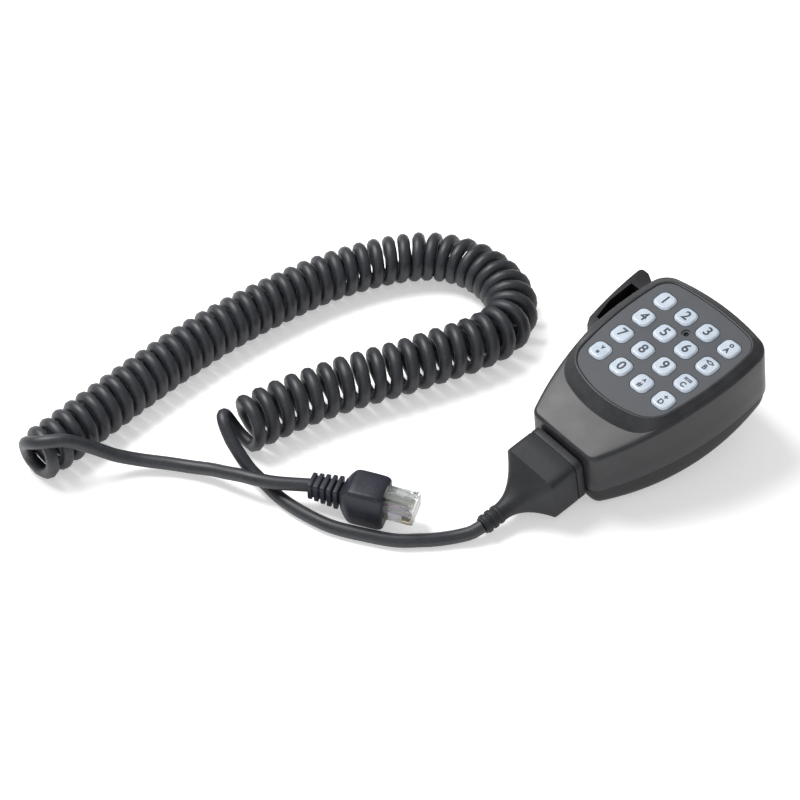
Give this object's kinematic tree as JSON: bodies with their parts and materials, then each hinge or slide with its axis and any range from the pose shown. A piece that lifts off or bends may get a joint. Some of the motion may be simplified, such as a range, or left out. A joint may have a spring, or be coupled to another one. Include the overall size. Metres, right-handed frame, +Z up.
{
  "type": "hand microphone",
  "caption": "Hand-held radio microphone with numbered keypad, side push-to-talk lever, hang-up button and curly cord ending in a modular plug.",
  "frame": {"origin": "middle of the body and its rubber boot on the surface it lies on", "axes": "+X to the right of the legends, +Y towards the top of the microphone, +Z up; the keypad face leans 10.35 degrees back towards the cord end"},
  "size_m": [0.2042, 0.2673, 0.0543],
  "materials": {
    "case": "fine spark texture, charcoal",
    "rear_case": "fine spark texture, charcoal",
    "panel": "satin mid grey paint",
    "key_milk": "milky translucent, satin",
    "mat_rubber": "translucent silicone",
    "dome_steel": "bright",
    "board": "green solder mask",
    "chip_black": "moulded",
    "led_white": "clear lens",
    "capsule_can": "drawn can",
    "rubber_black": "matt",
    "cloth_black": "woven",
    "lever_plastic": "fine spark texture",
    "pin_steel": "ground",
    "spring_steel": "bright wire",
    "switch_black": "moulded",
    "plunger_ivory": "moulded",
    "knob_black": "satin",
    "screw_steel": "zinc plated",
    "boot_rubber": "satin rubber",
    "clamp_grey": "moulded",
    "header_white": "nylon",
    "wires": "coloured insulation",
    "cord_jacket": "satin blue-black",
    "plug_cover": "satin moulded",
    "plug_clear": "clear polycarbonate",
    "contact_gold": "gold plated",
    "wire_colours": "coloured insulation"
  },
  "bodies": {
    "microphone": {"front_case": "case", "rear_case": "rear_case", "key_panel": "panel", "keypad_mat": "mat_rubber", "contact_domes": "dome_steel", "main_pcb": "board", "pcb_chips": "chip_black", "backlight_leds": "led_white", "mic_capsule": "capsule_can", "capsule_boot": "rubber_black", "dust_cloth": "cloth_black", "ptt_pin": "pin_steel", "ptt_spring": "spring_steel", "ptt_switch": "switch_black", "hang_knob": "knob_black", "hang_knob_screw": "screw_steel", "case_screws": "screw_steel", "cord_boot": "boot_rubber", "cord_clamp": "clamp_grey", "clamp_screws": "screw_steel", "cord_header": "header_white", "cord_wires": "wires", "cord_lead_mic": "cord_jacket", "cord_coil": "cord_jacket", "cord_lead_plug": "cord_jacket", "plug_cover": "plug_cover", "plug_body": "plug_clear", "plug_contacts": "contact_gold", "plug_wires": "wire_colours"},
    "ptt": {"ptt_lever": "lever_plastic"},
    "plunger": {"ptt_plunger": "plunger_ivory"},
    "latch": {"plug_latch": "plug_clear"},
    "key_1_body": {"key_1": "key_milk"},
    "key_2_body": {"key_2": "key_milk"},
    "key_3_body": {"key_3": "key_milk"},
    "key_a_body": {"key_a": "key_milk"},
    "key_4_body": {"key_4": "key_milk"},
    "key_5_body": {"key_5": "key_milk"},
    "key_6_body": {"key_6": "key_milk"},
    "key_b_body": {"key_b": "key_milk"},
    "key_7_body": {"key_7": "key_milk"},
    "key_8_body": {"key_8": "key_milk"},
    "key_9_body": {"key_9": "key_milk"},
    "key_c_body": {"key_c": "key_milk"},
    "key_star_body": {"key_star": "key_milk"},
    "key_0_body": {"key_0": "key_milk"},
    "key_hash_body": {"key_hash": "key_milk"},
    "key_d_body": {"key_d": "key_milk"}
  },
  "joints": [
    {"name": "key_1_press", "type": "slide", "parent": "microphone", "child": "key_1_body", "axis": [0, 0.1797, -0.9837], "range_m": [0, 0.0007], "stiffness_N_per_m": 900, "springref_m": -0.0003},
    {"name": "key_2_press", "type": "slide", "parent": "microphone", "child": "key_2_body", "axis": [0, 0.1797, -0.9837], "range_m": [0, 0.0007], "stiffness_N_per_m": 900, "springref_m": -0.0003},
    {"name": "key_3_press", "type": "slide", "parent": "microphone", "child": "key_3_body", "axis": [0, 0.1797, -0.9837], "range_m": [0, 0.0007], "stiffness_N_per_m": 900, "springref_m": -0.0003},
    {"name": "key_a_press", "type": "slide", "parent": "microphone", "child": "key_a_body", "axis": [0, 0.1797, -0.9837], "range_m": [0, 0.0007], "stiffness_N_per_m": 900, "springref_m": -0.0003},
    {"name": "key_4_press", "type": "slide", "parent": "microphone", "child": "key_4_body", "axis": [0, 0.1797, -0.9837], "range_m": [0, 0.0007], "stiffness_N_per_m": 900, "springref_m": -0.0003},
    {"name": "key_5_press", "type": "slide", "parent": "microphone", "child": "key_5_body", "axis": [0, 0.1797, -0.9837], "range_m": [0, 0.0007], "stiffness_N_per_m": 900, "springref_m": -0.0003},
    {"name": "key_6_press", "type": "slide", "parent": "microphone", "child": "key_6_body", "axis": [0, 0.1797, -0.9837], "range_m": [0, 0.0007], "stiffness_N_per_m": 900, "springref_m": -0.0003},
    {"name": "key_b_press", "type": "slide", "parent": "microphone", "child": "key_b_body", "axis": [0, 0.1797, -0.9837], "range_m": [0, 0.0007], "stiffness_N_per_m": 900, "springref_m": -0.0003},
    {"name": "key_7_press", "type": "slide", "parent": "microphone", "child": "key_7_body", "axis": [0, 0.1797, -0.9837], "range_m": [0, 0.0007], "stiffness_N_per_m": 900, "springref_m": -0.0003},
    {"name": "key_8_press", "type": "slide", "parent": "microphone", "child": "key_8_body", "axis": [0, 0.1797, -0.9837], "range_m": [0, 0.0007], "stiffness_N_per_m": 900, "springref_m": -0.0003},
    {"name": "key_9_press", "type": "slide", "parent": "microphone", "child": "key_9_body", "axis": [0, 0.1797, -0.9837], "range_m": [0, 0.0007], "stiffness_N_per_m": 900, "springref_m": -0.0003},
    {"name": "key_c_press", "type": "slide", "parent": "microphone", "child": "key_c_body", "axis": [0, 0.1797, -0.9837], "range_m": [0, 0.0007], "stiffness_N_per_m": 900, "springref_m": -0.0003},
    {"name": "key_star_press", "type": "slide", "parent": "microphone", "child": "key_star_body", "axis": [0, 0.1797, -0.9837], "range_m": [0, 0.0007], "stiffness_N_per_m": 900, "springref_m": -0.0003},
    {"name": "key_0_press", "type": "slide", "parent": "microphone", "child": "key_0_body", "axis": [0, 0.1797, -0.9837], "range_m": [0, 0.0007], "stiffness_N_per_m": 900, "springref_m": -0.0003},
    {"name": "key_hash_press", "type": "slide", "parent": "microphone", "child": "key_hash_body", "axis": [0, 0.1797, -0.9837], "range_m": [0, 0.0007], "stiffness_N_per_m": 900, "springref_m": -0.0003},
    {"name": "key_d_press", "type": "slide", "parent": "microphone", "child": "key_d_body", "axis": [0, 0.1797, -0.9837], "range_m": [0, 0.0007], "stiffness_N_per_m": 900, "springref_m": -0.0003},
    {"name": "ptt_hinge", "type": "hinge", "parent": "microphone", "child": "ptt", "pos_m": [-0.0259, 0.02241, 0.03263], "axis": [0, 0.1797, -0.9837], "range_deg": [0, 6], "stiffness_Nm_per_rad": 0.8, "springref_deg": -4.58, "deforming": ["ptt_spring"]},
    {"name": "ptt_plunger_slide", "type": "slide", "parent": "microphone", "child": "plunger", "axis": [1, 0, 0], "range_m": [0, 0.0027]},
    {"name": "plug_latch_hinge", "type": "hinge", "parent": "microphone", "child": "latch", "pos_m": [-0.01718, -0.08746, 0.0159], "axis": [0.5446, -0.8387, 0], "range_deg": [0, 8], "stiffness_Nm_per_rad": 0.02, "springref_deg": -2.86}
  ],
  "couplings": [
    {"joint": "ptt_plunger_slide", "follows": "ptt_hinge", "m_per_rad": 0.025}
  ]
}
